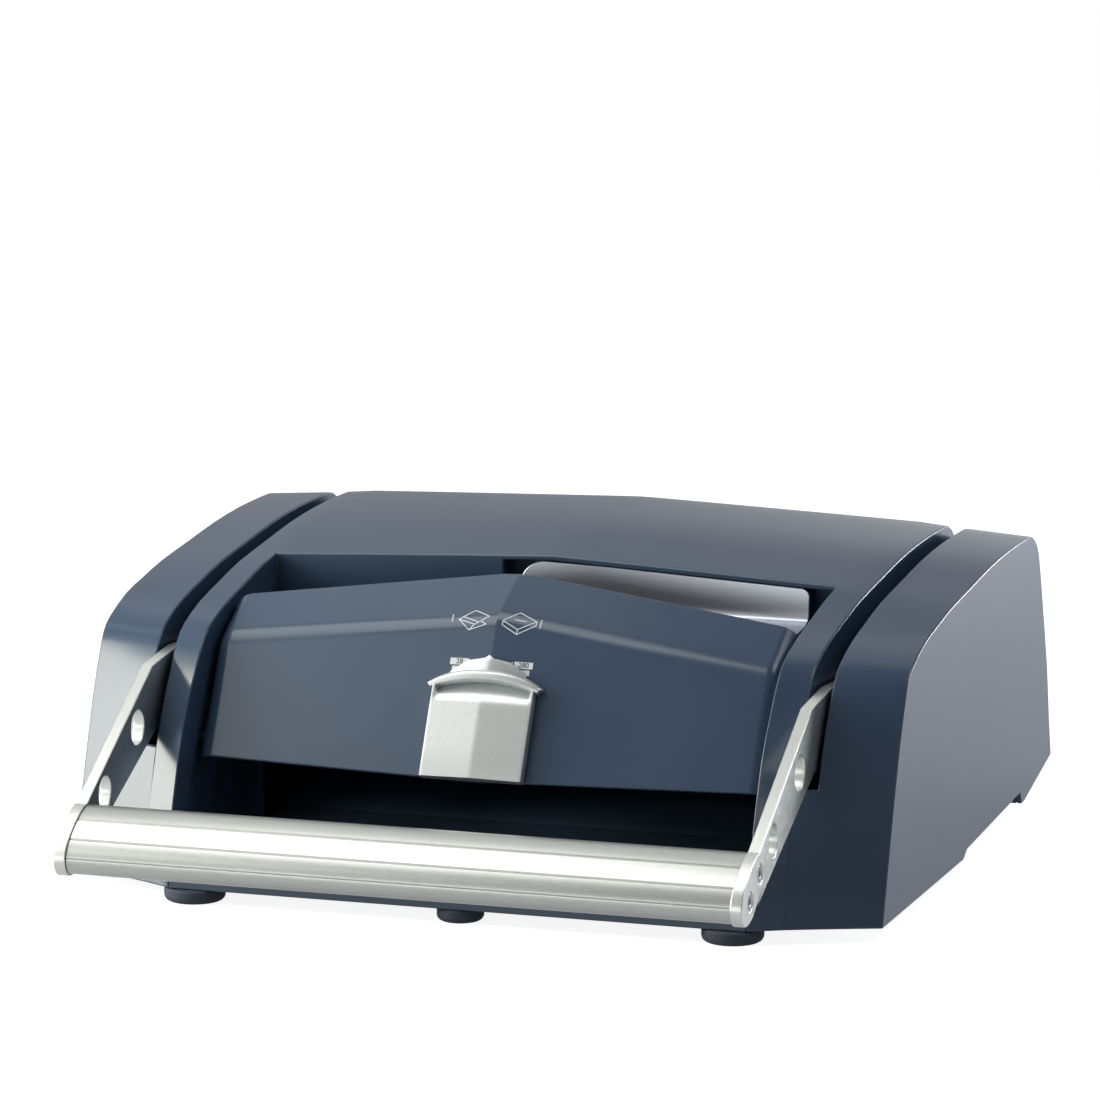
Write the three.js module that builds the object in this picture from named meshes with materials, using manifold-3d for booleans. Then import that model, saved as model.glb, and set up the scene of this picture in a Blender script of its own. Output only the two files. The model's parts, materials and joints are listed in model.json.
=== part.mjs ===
import * as THREE from 'three';
import { mergeVertices } from 'three/addons/utils/BufferGeometryUtils.js';
import Module from 'manifold-3d';

const wasm = await Module();
wasm.setup();

// Hand-lever channel binding machine, in millimetres.
// X runs across, Y from the handle to the rear, Z up from the table.

// Overall size: the pillars beside the window reach the edge height, the centre is crowned above it
const width = 465;
const depth = 501;
const edgeHeight = 172.6;
const crownFront = 7.9;
const crownRear = 5.5;
const crownPower = 1.1;

// Covers: the cheeks, the pillars between window and arm slots, and what stands on them
const cheekWidth = 49.5;
const pillarWidth = 18;
const armSlot = 11;
const coverWall = 3;
const partingWall = 2.5;
const seam = 0.3;
const sweepPower = 0.85;
const rearPanelDrop = 32.6;
const coverPostInset = 8;
const coverPostSize = 12;
const coverPostHeight = 40;

// Recess behind the flap
const recessSplit = -29;
const recessStep = 12;
const recessLift = 30;
const restLift = 10;
const portGap = 3;

// Fits
const overrun = 20;
const fit = 0.3;
const runningFit = 0.1;
const roundSides = 28;
const smallSides = 16;

// Lever
const pivotY = 51.5;
const pivotDrop = 68.6;
const armThickness = 6.5;
const hubRadius = 17;
const shaftRadius = 8;
const handleHeight = 51;
const handleTilt = THREE.MathUtils.degToRad(30.6);
const handleLong = 47;
const handleShort = 23;
const ovalPower = 2.3;
const ovalSteps = 40;
const armMargin = 1.2;
const upperHoleRadius = 9.75;
const lowerHoleRadius = 9;
const screwSpread = 21.5;
const screwShift = 2.4;
const screwDrop = 1.4;
const screwHeadRadius = 5;
const screwHeadHeight = 3;
const screwSocket = 2.3;
const screwRadius = 2.6;
const screwReach = 16;
const leverStopY = -84;
const leverStopLength = 15;
const leverStopHeight = 5;

// Front flap
const flapSideGap = 2;
const flapWall = 3;
const flapHingeY = -95.5;
const flapHingeDrop = 22;
const flapBottomY = -117.5;
const flapBottomDrop = 10;
const flapRidgeY = -75;
const flapRidgeRise = 73.5;
const flapTopY = -34;
const flapTopRise = 91;
const flapApexCut = 1.2;
const flapCreaseDepth = 6;
const flapFootRise = 3;
const flapRidgeLead = 3;
const flapRidgeFall = 20;
const flapTopLead = 11.5;
const flapTopFall = 20;
const ridgeFillet = 7;
const flapEndRound = 9;
const flapReturn = 12;
const flapPinRadius = 3;
const flapBossRadius = 5.5;
const flapBossLength = 10;
const bufferRadius = 4;
const bufferLength = 12;
const bufferDrop = 14;

// Size knob on the flap
const knobHalf = 29;
const knobRise = 6.5;
const knobLength = 47;
const knobCrease = 1.6;
const neckInset = 3;
const neckRise = 3;
const rimGap = 2;
const rimHalf = 33.5;
const rimEnd = 4.5;
const rimFootArch = 4.5;
const rimTopArch = 8.5;
const rimRise = 8;
const pointerRise = 2.2;
const pointerHalf = 22;
const pointerLength = 13;
const stemHalf = 2.7;
const stemFoot = 34;
const stemLength = 10;
const knobTravel = 28;
const clipHalf = 12;
const clipWall = 3;
const clipGap = 1;
const clipMargin = 4;
const clipScrewRadius = 1.4;
const clipScrewHead = 3;
const clipScrewReach = 7;

// Press
const jawDepth = 12;
const jawHeight = 20;
const jawDrop = 8;
const jawGap = 5;
const fixedJawY = -35.5;
const movingJawGap = 3;
const jawStroke = 8;
const leverSwing = THREE.MathUtils.degToRad(150);
const jawScrewRadius = 3;
const jawScrewHead = 5.5;
const jawScrewHeadHeight = 3.5;
const jawScrewDepth = 5;
const guideInset = 9;
const guideRadius = 3;
const guideHead = 3;
const guideTail = 30;
const springPocket = 8;
const springRadius = 4.2;
const springWire = 0.7;
const springTurns = 6;
const springTurnSteps = 8;
const camInset = 57;
const camWidth = 10;
const camReach = 34;
const camSteps = 72;
const camSpare = THREE.MathUtils.degToRad(15);
const padWidth = 14;
const padDepth = 4;
const padHeight = 24;
const pushBarHeight = 12;
const spineRestWall = 4;
const spineRestGap = 4;

// Inner frame
const frameGap = 1.5;
const frameWall = 4;
const tieRadius = 5;
const tieShoulder = 1.5;
const tieEnd = 3;
const bushWall = 2.5;
const bushFlange = 3;
const panWall = 3;
const sillHeight = 30;

// Document rest behind the flap
const restStepGap = 9;
const restEndGap = 16;
const restWall = 2;
const restStandoff = 8.6;
const restReach = 31.4;
const restFootDrop = 4;
const restRise = 32;
const restTopGap = 0.6;
const restLeftRound = 14.5;
const restRightRound = 5;
const restBossRadius = 4;
const restBossInset = 25;
const restBossLift = 10;

// Feet and the screws that enter from below
const footRadius = 17;
const centreFootRadius = 13;
const footInset = 11;
const frontFootY = -138.5;
const rearFootY = 165;
const footBevel = 2;
const panScrewRadius = 2;
const panScrewHead = 4;
const panScrewHeadHeight = 1.5;
const postScrewReach = 18;

const halfWidth = width / 2;
const centreHalf = halfWidth - cheekWidth;
const windowHalf = centreHalf - pillarWidth;
const slotOuter = centreHalf + armSlot;
const armInner = centreHalf + (armSlot - armThickness) / 2;
const armOuter = armInner + armThickness;
const frameInner = windowHalf + partingWall + frameGap;
const frameOuter = frameInner + frameWall;
const flangeEdge = centreHalf - partingWall - fit;
const coverPostX = slotOuter + coverPostInset;
const footX = windowHalf - footInset;
const flapHalf = windowHalf - flapSideGap;
const movingJawHalf = frameInner - movingJawGap;
const guideX = movingJawHalf - guideInset;
const camX = guideX - camInset;

const pivotZ = edgeHeight - pivotDrop;
const jawBottomZ = pivotZ - jawDrop;
const recessFloor = pivotZ + recessLift;
const restFloor = recessFloor + restLift;
const flapHingeZ = pivotZ - flapHingeDrop;

// Side outlines of the covers from the front foot, over the top, to the rear foot.
// Each pair is a share of the depth, from the middle, and of the edge height.
const pillarShares = [
  [-0.302, 0.046], [-0.286, 0.29], [-0.249, 0.55], [-0.213, 0.695], [-0.189, 0.776],
  [-0.165, 0.824], [-0.117, 0.868], [-0.055, 0.904], [0.007, 0.938], [0.097, 0.966],
  [0.181, 0.989], [0.267, 1], [0.356, 0.999], [0.398, 0.987], [0.426, 0.933],
  [0.438, 0.852], [0.454, 0.707], [0.478, 0.487], [0.49, 0.318], [0.5, 0.157],
];
const cheekShares = [
  [-0.242, 0.058], [-0.215, 0.302], [-0.183, 0.562], [-0.161, 0.701], [-0.147, 0.771],
  [-0.127, 0.811], [-0.077, 0.861], [-0.027, 0.886], [0.033, 0.912], [0.113, 0.933],
  [0.201, 0.956], [0.282, 0.967], [0.362, 0.967], [0.398, 0.957], [0.424, 0.91],
  [0.436, 0.84], [0.452, 0.701], [0.476, 0.481], [0.488, 0.307], [0.5, 0.157],
];
const crownStartShare = 0.774;
const crownFullShare = 0.93;
const outlineSteps = 38;

// Underside from front to rear: flat, a step up to the carrying recess, its rear lip and the upswept tail.
const undersideShares = [
  [-0.4, 0.047], [0.099, 0.047], [0.115, 0.072], [0.354, 0.11], [0.362, 0.07], [0.376, 0.072], [0.5, 0.157],
];

// Rear edge of the window in the top, and the rear ends of the arm slots
const windowEdgeShare = 0.046;
const slotRearShare = 0.424;

// Cheek posts, frame screws, tie rods and frames: shares of the depth, and of the pivot's height
const postShares = [-0.11, 0.26];
const frameScrewShares = [-0.17, 0.05];
const tieShares = [[-0.12, 0.8125], [0.165, 0.4875]];
const frameShares = [
  [-0.215, 0], [-0.215, 0.8125], [-0.12, 1.2], [-0.04, 1.3], [0.15, 1.3], [0.195, 1.056], [0.195, 0.211],
  [0.105, 0.211], [0.095, 0],
];

// Points of the arm: shares of the run from pivot to handle and of the pivot's height,
// then two points of its tip as shares of the tip's half length and half thickness
const armInnerShare = [0.471, 1.24];
const armKneeShare = [0.611, 1.202];
const armFootShare = [0.589, 0.856];
const upperHoleShare = [0.693, 0.913];
const lowerHoleShare = [0.869, 0.663];
const tipTopShare = [0.6, 0.76];
const tipFootShare = [-0.17, -1];

// Document rest from its foot to its upper edge: shares of its reach and rise
const restShares = [
  [0, 0], [0.47, 0.03], [0.72, 0.06], [0.84, 0.1], [0.895, 0.155], [0.918, 0.22], [0.934, 0.34],
  [0.957, 0.57], [1, 1],
];

// Pointer above the knob's rim: shares of its half width and length
const pointerShares = [[-1, 0], [1, 0], [1, 0.49], [0.52, 0.8], [0, 1], [-0.52, 0.8], [-1, 0.49]];

const point = (y, z) => new THREE.Vector2(y, z);
const sideName = (side) => (side < 0 ? 'left' : 'right');
const span = (side, a, b) => [side * a, side * b].sort((m, n) => m - n);
const sides = [-1, 1];

const machine = new THREE.Group();
machine.name = 'binding_machine';

const finishes = {
  blueGrey: { color: '#4b5666', roughness: 0.42, metalness: 0 },
  innerDark: { color: '#1d2733', roughness: 0.6, metalness: 0 },
  satinAluminium: { color: '#d5d8d4', roughness: 0.3, metalness: 1 },
  knobSilver: { color: '#cfd4d1', roughness: 0.35, metalness: 0.8 },
  steel: { color: '#9a9d9f', roughness: 0.35, metalness: 1 },
  darkSteel: { color: '#3c4045', roughness: 0.5, metalness: 1 },
  bronze: { color: '#a98046', roughness: 0.4, metalness: 1 },
  rubber: { color: '#2b343f', roughness: 0.85, metalness: 0 },
};

function solid(geometry) {
  geometry.deleteAttribute('normal');
  geometry.deleteAttribute('uv');
  const merged = mergeVertices(geometry);
  const mesh = new wasm.Mesh({
    numProp: 3,
    vertProperties: new Float32Array(merged.attributes.position.array),
    triVerts: new Uint32Array(merged.index.array),
  });
  return new wasm.Manifold(mesh);
}

function add(name, body, finish, parent = machine) {
  const { vertProperties, triVerts } = body.getMesh();
  const geometry = new THREE.BufferGeometry();
  geometry.setAttribute('position', new THREE.BufferAttribute(vertProperties, 3));
  geometry.setIndex(new THREE.BufferAttribute(triVerts, 1));
  geometry.computeVertexNormals();
  const mesh = new THREE.Mesh(geometry, new THREE.MeshStandardMaterial(finishes[finish]));
  mesh.name = name;
  parent.add(mesh);
  return mesh;
}

const join = (bodies) => bodies.reduce((whole, body) => whole.add(body));
const cut = (body, tools) => tools.reduce((whole, tool) => whole.subtract(tool), body);

function block([x0, x1], [y0, y1], [z0, z1]) {
  const geometry = new THREE.BoxGeometry(x1 - x0, y1 - y0, z1 - z0);
  geometry.translate((x0 + x1) / 2, (y0 + y1) / 2, (z0 + z1) / 2);
  return solid(geometry);
}

const extruded = (shape, length) => new THREE.ExtrudeGeometry(shape, { depth: length, bevelEnabled: false });

// A side outline in Y and Z, drawn out across X
function prism(outline, [x0, x1]) {
  const geometry = extruded(new THREE.Shape(outline), x1 - x0);
  const acrossX = new THREE.Matrix4().set(0, 0, 1, x0, 1, 0, 0, 0, 0, 1, 0, 0, 0, 0, 0, 1);
  return solid(geometry.applyMatrix4(acrossX));
}

function rod(radius, from, to, sidesAround = roundSides) {
  const start = new THREE.Vector3(...from);
  const run = new THREE.Vector3(...to).sub(start);
  const geometry = new THREE.CylinderGeometry(radius, radius, run.length(), sidesAround);
  const upright = new THREE.Vector3(0, 1, 0);
  geometry.translate(0, run.length() / 2, 0);
  geometry.applyQuaternion(new THREE.Quaternion().setFromUnitVectors(upright, run.normalize()));
  geometry.translate(start.x, start.y, start.z);
  return solid(geometry);
}

const everywhere = [-depth, depth];
const crossRod = (radius, [x0, x1], y, z, around) => rod(radius, [x0, y, z], [x1, y, z], around);

// Places on the flattened oval that the handle and the arms' tips share, laid along the arm
function onTilt(along, over, centreY, centreZ) {
  const y = along * Math.cos(handleTilt) - over * Math.sin(handleTilt);
  const z = along * Math.sin(handleTilt) + over * Math.cos(handleTilt);
  return point(centreY + y, centreZ + z);
}

function oval(long, short, centreY, centreZ) {
  const bulge = (value) => Math.sign(value) * Math.abs(value) ** (2 / ovalPower);
  return Array.from({ length: ovalSteps }, (unused, i) => {
    const angle = (i / ovalSteps) * 2 * Math.PI;
    const [along, over] = [(long / 2) * bulge(Math.cos(angle)), (short / 2) * bulge(Math.sin(angle))];
    return onTilt(along, over, centreY, centreZ);
  });
}

const armLong = handleLong + 2 * armMargin;
const armShort = handleShort + 2 * armMargin;
const tipReach = -Math.min(...oval(armLong, armShort, 0, 0).map((p) => p.x));
const handleY = tipReach - depth / 2;
const armPoint = ([run, rise]) => point(pivotY - run * (pivotY - handleY), rise * pivotZ);
const tipPoint = ([along, over]) =>
  onTilt((along * armLong) / 2, (over * armShort) / 2, handleY, handleHeight);
const screwPlaces = [-1, 1].map((end) =>
  onTilt(screwShift + (end * screwSpread) / 2, -screwDrop, handleY, handleHeight));

// Underside of the lowered arm over its stop, and the foot of the arm slot below the stop
const armFoot = armPoint(armFootShare);
const armOverStop = THREE.MathUtils.mapLinear(leverStopY, armFoot.x, pivotY, armFoot.y, pivotZ - hubRadius);
const slotFoot = armOverStop - leverStopHeight - coverWall - 2 * fit;

// A closed skin through equal outlines at rising X
function loft(sections) {
  const flip = THREE.ShapeUtils.isClockWise(sections[0].outline);
  const rings = sections.map(({ x, outline }) => ({ x, ring: flip ? [...outline].reverse() : outline }));
  const count = rings[0].ring.length;
  const positions = rings.flatMap(({ x, ring }) => ring.flatMap((p) => [x, p.x, p.y]));
  const index = [];
  for (let s = 0; s < rings.length - 1; s += 1) {
    for (let i = 0; i < count; i += 1) {
      const a = s * count + i;
      const b = s * count + ((i + 1) % count);
      index.push(a, b, b + count, a, b + count, a + count);
    }
  }
  const last = (rings.length - 1) * count;
  for (const [a, b, c] of THREE.ShapeUtils.triangulateShape(rings[0].ring, [])) {
    index.push(a, c, b);
  }
  for (const [a, b, c] of THREE.ShapeUtils.triangulateShape(rings[rings.length - 1].ring, [])) {
    index.push(last + a, last + b, last + c);
  }
  const geometry = new THREE.BufferGeometry();
  geometry.setAttribute('position', new THREE.Float32BufferAttribute(positions, 3));
  geometry.setIndex(index);
  return solid(geometry);
}

// Moves an open outline, drawn front to rear, into the material below or behind it
function insetCurve(curve, distance) {
  return curve.map((p, i) => {
    const before = curve[Math.max(i - 1, 0)];
    const after = curve[Math.min(i + 1, curve.length - 1)];
    const inward = point(after.y - before.y, before.x - after.x).normalize();
    return p.clone().addScaledVector(inward, distance);
  });
}

// The covers' common outer surface: one smooth outline at each place across the width
function coverCurve(x, inset) {
  const across = Math.abs(x);
  const sweep = Math.max(0, (across - windowHalf) / (halfWidth - windowHalf)) ** sweepPower;
  const crownShare = Math.max(0, 1 - (across / windowHalf) ** crownPower);
  const points = pillarShares.map(([pillarY, pillarZ], i) => {
    const [cheekY, cheekZ] = cheekShares[i];
    const y = THREE.MathUtils.lerp(pillarY, cheekY, sweep) * depth;
    const z = THREE.MathUtils.lerp(pillarZ, cheekZ, sweep) * edgeHeight;
    const toRear = THREE.MathUtils.smoothstep(pillarY, windowEdgeShare, slotRearShare);
    const crown = THREE.MathUtils.lerp(crownFront, crownRear, toRear) * crownShare;
    return point(y, z + crown * THREE.MathUtils.smoothstep(pillarZ, crownStartShare, crownFullShare));
  });
  const curve = new THREE.SplineCurve(points).getPoints(outlineSteps);
  return inset ? insetCurve(curve, inset) : curve;
}

const stations = [0, windowHalf / 12, windowHalf / 3, (2 * windowHalf) / 3, windowHalf, centreHalf, slotOuter,
  (2 * slotOuter + halfWidth) / 3, (slotOuter + 2 * halfWidth) / 3, halfWidth];
const allStations = [...stations.slice(1).map((x) => -x), ...stations];

function coverBody([x0, x1], inset = 0, floor = -overrun) {
  const inner = allStations.filter((x) => x > x0 && x < x1).sort((a, b) => a - b);
  const sections = [x0, ...inner, x1].map((x) => {
    const curve = coverCurve(x, inset);
    const outline = [point(curve[0].x, floor), ...curve, point(curve[curve.length - 1].x, floor)];
    return { x, outline };
  });
  return loft(sections);
}

const underside = undersideShares.map(([y, z]) => point(y * depth, z * edgeHeight));

// Everything below the underside, raised by a thickness where needed
function belowUnderside(raise = 0) {
  const line = underside.map((p) => point(p.x, p.y + raise));
  const tail = point(depth, line[line.length - 1].y + overrun);
  const front = [point(-depth, -depth), point(-depth, line[0].y)];
  return prism([...front, ...line, tail, point(depth, -depth)], everywhere);
}

// Height of a line, drawn front to rear, at a place along the depth
function heightOn(line, y) {
  const after = line.findIndex((p) => p.x > y);
  const [a, b] = [line[after - 1], line[after]];
  return THREE.MathUtils.mapLinear(y, a.x, b.x, a.y, b.y);
}

const undersideAt = (y) => heightOn(underside, y);

const windowEdge = windowEdgeShare * depth;
const windowBack = windowEdge + recessStep;
const slotRear = slotRearShare * depth;
const postPlaces = postShares.map((share) => share * depth);
const framePlaces = frameScrewShares.map((share) => share * depth);
const tiePlaces = tieShares.map(([y, z]) => [y * depth, z * pivotZ]);
const footHeight = undersideAt(frontFootY) - fit;
const panTop = undersideAt(frontFootY) + panWall;
const rearPanelTop = edgeHeight - rearPanelDrop;

const behind = (y) => block(everywhere, [y, depth], everywhere);
const above = (z) => block(everywhere, everywhere, [z, depth]);
const below = (z) => block(everywhere, everywhere, [-depth, z]);

// Room inside the skins for the base pan
const panRoom = coverBody([-halfWidth + coverWall, halfWidth - coverWall], coverWall)
  .intersect(belowUnderside(panWall + fit));

// Walls that close the recess behind the flap: forward on the left, set back round the document rest
function recessWalls() {
  const end = windowHalf + partingWall;
  const left = block([-end, recessSplit], [windowEdge, windowEdge + partingWall], [recessFloor, depth]);
  const right = block([recessSplit, end], [windowBack, windowBack + partingWall], [restFloor, depth]);
  const step = block([recessSplit - partingWall, recessSplit], [windowEdge, windowBack + partingWall],
    [restFloor, depth]);
  return join([left, right, step]).intersect(coverBody([-end, end]));
}

// Wall inside a pillar, open in the middle for the front tie rod and the jaws
function pillarWall(side) {
  const [[tieY, tieZ]] = tiePlaces;
  const tieRoom = tieRadius + tieShoulder + portGap;
  const jawFront = fixedJawY - jawDepth / 2 - guideHead - portGap;
  return cut(coverBody(span(side, windowHalf, windowHalf + partingWall)), [
    behind(windowBack + 2 * partingWall),
    block(everywhere, [tieY - tieRoom, depth], [tieZ - tieRoom, tieZ + tieRoom]),
    block(everywhere, [jawFront, depth], [tieZ - tieRoom, jawBottomZ + jawHeight + portGap]),
    block(everywhere, [0, depth], [-depth, recessFloor]),
  ]);
}

function topCover() {
  const inside = [-centreHalf + partingWall, centreHalf - partingWall];
  const window = block([-windowHalf, windowHalf], [-depth, windowEdge], everywhere);
  const skin = cut(coverBody([-centreHalf, centreHalf]), [coverBody(inside, coverWall), window]);
  const pinAcross = windowHalf + 2 * partingWall;
  return cut(join([skin, ...sides.map(pillarWall), recessWalls()]), [
    block(inside, [depth / 4, depth], [-depth, rearPanelTop]),
    belowUnderside(),
    panRoom,
    crossRod(shaftRadius + coverWall, everywhere, pivotY, pivotZ),
    crossRod(flapPinRadius + fit, [-pinAcross, pinAcross], flapHingeY, flapHingeZ, smallSides),
  ]);
}

function rearPanel() {
  const reach = centreHalf - partingWall - fit;
  const skin = coverBody([-reach, reach]).subtract(coverBody([-centreHalf, centreHalf], coverWall));
  return cut(skin.intersect(behind(depth / 4)), [above(rearPanelTop - fit), belowUnderside()]);
}

function cheekCover(side) {
  const slotAcross = span(side, centreHalf, slotOuter);
  const shell = cut(coverBody(span(side, centreHalf + seam, halfWidth)), [
    coverBody(span(side, slotOuter + partingWall, halfWidth - coverWall), coverWall),
    coverBody(slotAcross, coverWall),
    block(slotAcross, [-depth, slotRear], [slotFoot, depth]),
    belowUnderside(),
    panRoom,
  ]);
  const ledge = block(span(side, centreHalf + 2 * seam, slotOuter + partingWall),
    [leverStopY, leverStopY + leverStopLength], [slotFoot, slotFoot + coverWall]);
  const posts = postPlaces.map((y) => block(
    span(side, slotOuter + partingWall / 2, coverPostX + coverPostSize / 2),
    [y - coverPostSize / 2, y + coverPostSize / 2],
    [undersideAt(y + coverPostSize / 2) + panWall + fit, coverPostHeight],
  ));
  return cut(join([shell, ledge, ...posts]), postPlaces.map((y) => postScrew(side, y, fit)));
}

// Screw that enters the pan from below; with a clearance it is the bore for one
function panScrew(x, y, reach, clearance = 0) {
  const seat = undersideAt(y);
  const entry = clearance ? seat - overrun : seat;
  const headTop = seat + panScrewHeadHeight + clearance;
  return rod(panScrewHead + clearance, [x, y, entry], [x, y, headTop], smallSides)
    .add(rod(panScrewRadius + clearance, [x, y, seat], [x, y, seat + reach + clearance], smallSides));
}

const postScrew = (side, y, clearance) => panScrew(side * coverPostX, y, postScrewReach, clearance);
const frameScrew = (side, y, clearance) =>
  panScrew((side * (frameOuter + flangeEdge)) / 2, y, panWall + fit + frameWall, clearance);

// Base

const footPlaces = [
  ['foot_front_left', -footX, frontFootY, footRadius],
  ['foot_front_right', footX, frontFootY, footRadius],
  ['foot_front_centre', 0, frontFootY, centreFootRadius],
  ['foot_rear_left', -footX, rearFootY, footRadius],
  ['foot_rear_right', footX, rearFootY, footRadius],
];

function basePan() {
  const edge = halfWidth - coverWall - fit;
  const lipAcross = [-windowHalf + fit, windowHalf - fit];
  const band = belowUnderside(panWall).subtract(belowUnderside());
  const floor = coverBody([-edge, edge], coverWall + fit).intersect(band);
  const bridge = coverBody(lipAcross).intersect(band).subtract(behind(flapHingeY));
  const lip = cut(coverBody(lipAcross), [
    coverBody([-centreHalf, centreHalf], coverWall),
    belowUnderside(),
    above(sillHeight),
    behind(flapHingeY),
  ]);
  const pedestals = sides.map((side) => rod(footRadius, [side * footX, rearFootY, footHeight + fit],
    [side * footX, rearFootY, undersideAt(rearFootY) + panWall / 2]));
  const bores = sides.flatMap((side) => [
    ...postPlaces.map((y) => postScrew(side, y, fit)),
    ...framePlaces.map((y) => frameScrew(side, y, fit)),
  ]);
  return cut(join([floor, bridge, lip, ...pedestals]), bores);
}

// A rubber foot, standing at the origin
function foot(radius) {
  const profile = [
    point(0, 0), point(radius - footBevel, 0), point(radius, footBevel),
    point(radius, footHeight), point(0, footHeight),
  ];
  return solid(new THREE.LatheGeometry(profile, roundSides).rotateX(Math.PI / 2));
}

// Inner frame, carried on the pan

function sideFrame(side) {
  const seat = panTop + fit;
  const outline = frameShares.map(([y, z]) => point(y * depth, Math.max(z * pivotZ, seat)));
  const plate = prism(outline, span(side, frameInner, frameOuter))
    .intersect(coverBody([-centreHalf, centreHalf], coverWall + fit));
  const flange = block(span(side, frameInner, flangeEdge),
    [outline[0].x, outline[outline.length - 1].x], [seat, seat + frameWall]);
  return cut(plate.add(flange), [
    crossRod(shaftRadius + bushWall + 2 * fit, everywhere, pivotY, pivotZ),
    crossRod(flapPinRadius + fit, everywhere, flapHingeY, flapHingeZ, smallSides),
    crossRod(jawScrewRadius + fit, everywhere, fixedJawY, jawMidZ, smallSides),
    ...tiePlaces.map(([y, z]) => crossRod(tieRadius + fit, everywhere, y, z, smallSides)),
    ...framePlaces.map((y) => frameScrew(side, y, fit)),
  ]);
}

function tieRod([y, z]) {
  const reach = frameOuter + tieEnd;
  const shoulder = frameInner - fit;
  return crossRod(tieRadius, [-reach, reach], y, z, smallSides)
    .add(crossRod(tieRadius + tieShoulder, [-shoulder, shoulder], y, z, smallSides));
}

function shaftBush(side) {
  const radius = shaftRadius + bushWall + fit;
  const start = frameInner - fit - bushFlange;
  return crossRod(radius, span(side, start, frameOuter), pivotY, pivotZ)
    .add(crossRod(radius + bushWall, span(side, start, frameInner - fit), pivotY, pivotZ))
    .subtract(crossRod(shaftRadius + runningFit, everywhere, pivotY, pivotZ));
}

// Press: the rear jaw is driven forward on two guide pins by cams on the lever's shaft

const jawMidZ = jawBottomZ + jawHeight / 2;
const jawHalf = frameInner - fit;
const movingJawY = fixedJawY + jawDepth + jawGap;
const jawFaces = [fixedJawY + jawDepth / 2, movingJawY - jawDepth / 2];
const padFace = pivotY - camReach - fit;
const pocketRadius = springRadius + springWire + 2 * fit;
const guideBore = (side, radius, from, to) =>
  rod(radius, [side * guideX, from, jawMidZ], [side * guideX, to, jawMidZ], smallSides);
const jawScrewBore = (side, radius, from, to) =>
  crossRod(radius, span(side, from, to), fixedJawY, jawMidZ, smallSides);

function jawBlock(half, y) {
  return block([-half, half], [y - jawDepth / 2, y + jawDepth / 2], [jawBottomZ, jawBottomZ + jawHeight]);
}

function fixedJaw() {
  const face = jawFaces[0];
  return cut(jawBlock(jawHalf, fixedJawY), sides.flatMap((side) => [
    guideBore(side, guideRadius + fit, face - jawDepth - overrun, face + overrun),
    guideBore(side, pocketRadius, face - springPocket, face + overrun),
    jawScrewBore(side, jawScrewRadius + fit, jawHalf - jawScrewDepth, jawHalf + overrun),
  ]));
}

function jawScrew(side) {
  const seat = frameOuter + fit;
  return jawScrewBore(side, jawScrewRadius, jawHalf - jawScrewDepth + fit, seat + fit)
    .add(jawScrewBore(side, jawScrewHead, seat, seat + jawScrewHeadHeight));
}

function guidePin(side) {
  const seat = fixedJawY - jawDepth / 2 - fit;
  return guideBore(side, guideRadius, seat - guideHead, guideTail)
    .add(guideBore(side, guideRadius + guideHead, seat - guideHead, seat));
}

function movingJaw() {
  const [, face] = jawFaces;
  const back = face + jawDepth;
  const bars = sides.map((side) => block(span(side, camX - padWidth / 2, camX + padWidth / 2),
    [back - fit, padFace - padDepth - fit], [jawMidZ - pushBarHeight / 2, jawMidZ + pushBarHeight / 2]));
  return cut(join([jawBlock(movingJawHalf, movingJawY), ...bars]), sides.flatMap((side) => [
    guideBore(side, guideRadius + runningFit, face - overrun, back + overrun),
    guideBore(side, pocketRadius, face - overrun, face + springPocket),
  ]));
}

function camPad(side) {
  return block(span(side, camX - padWidth / 2, camX + padWidth / 2), [padFace - padDepth, padFace],
    [pivotZ - padHeight / 2, pivotZ + padHeight / 2]);
}

// Cam whose flat follower moves evenly with the lever's angle, closed by a smooth return
function camOutline() {
  const rate = jawStroke / leverSwing;
  const start = Math.PI - camSpare;
  const end = Math.PI + leverSwing + camSpare;
  const low = camReach - rate * (end - Math.PI);
  const back = start + 2 * Math.PI - end;
  const rise = rate * (end - start) + rate * back;
  const reachAt = (angle) => {
    if (angle <= end) {
      return [camReach - rate * (angle - Math.PI), -rate];
    }
    const part = (angle - end) / back;
    const eased = rise * part * part * (3 - 2 * part);
    return [low - rate * (angle - end) + eased, -rate + (6 * rise * part * (1 - part)) / back];
  };
  return Array.from({ length: camSteps }, (unused, i) => {
    const angle = start + (i / camSteps) * 2 * Math.PI;
    const [reach, slope] = reachAt(angle);
    const along = reach * Math.cos(angle) - slope * Math.sin(angle);
    const over = reach * Math.sin(angle) + slope * Math.cos(angle);
    return point(pivotY + along, pivotZ + over);
  });
}

function cam(side) {
  return prism(camOutline(), span(side, camX - camWidth / 2, camX + camWidth / 2))
    .subtract(crossRod(shaftRadius + fit, everywhere, pivotY, pivotZ));
}

// Compression spring, wound along Y round the origin's Y axis
function returnSpring() {
  const from = jawFaces[0] - springPocket + fit + springWire;
  const to = jawFaces[1] + springPocket - fit - springWire;
  const steps = springTurns * springTurnSteps;
  const path = Array.from({ length: steps + 1 }, (unused, i) => {
    const angle = (i / springTurnSteps) * 2 * Math.PI;
    const along = from + ((to - from) * i) / steps;
    return new THREE.Vector3(springRadius * Math.cos(angle), along, springRadius * Math.sin(angle));
  });
  const wire = new THREE.Shape(new THREE.EllipseCurve(0, 0, springWire, springWire).getPoints(6).slice(1));
  const extrudePath = new THREE.CatmullRomCurve3(path);
  return solid(new THREE.ExtrudeGeometry(wire, { steps, extrudePath, bevelEnabled: false }));
}

function spineRest() {
  const top = jawBottomZ - spineRestGap;
  return block([-jawHalf, jawHalf], [fixedJawY - jawDepth / 2, movingJawY + jawDepth / 2 + jawStroke],
    [top - spineRestWall, top]);
}

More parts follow.
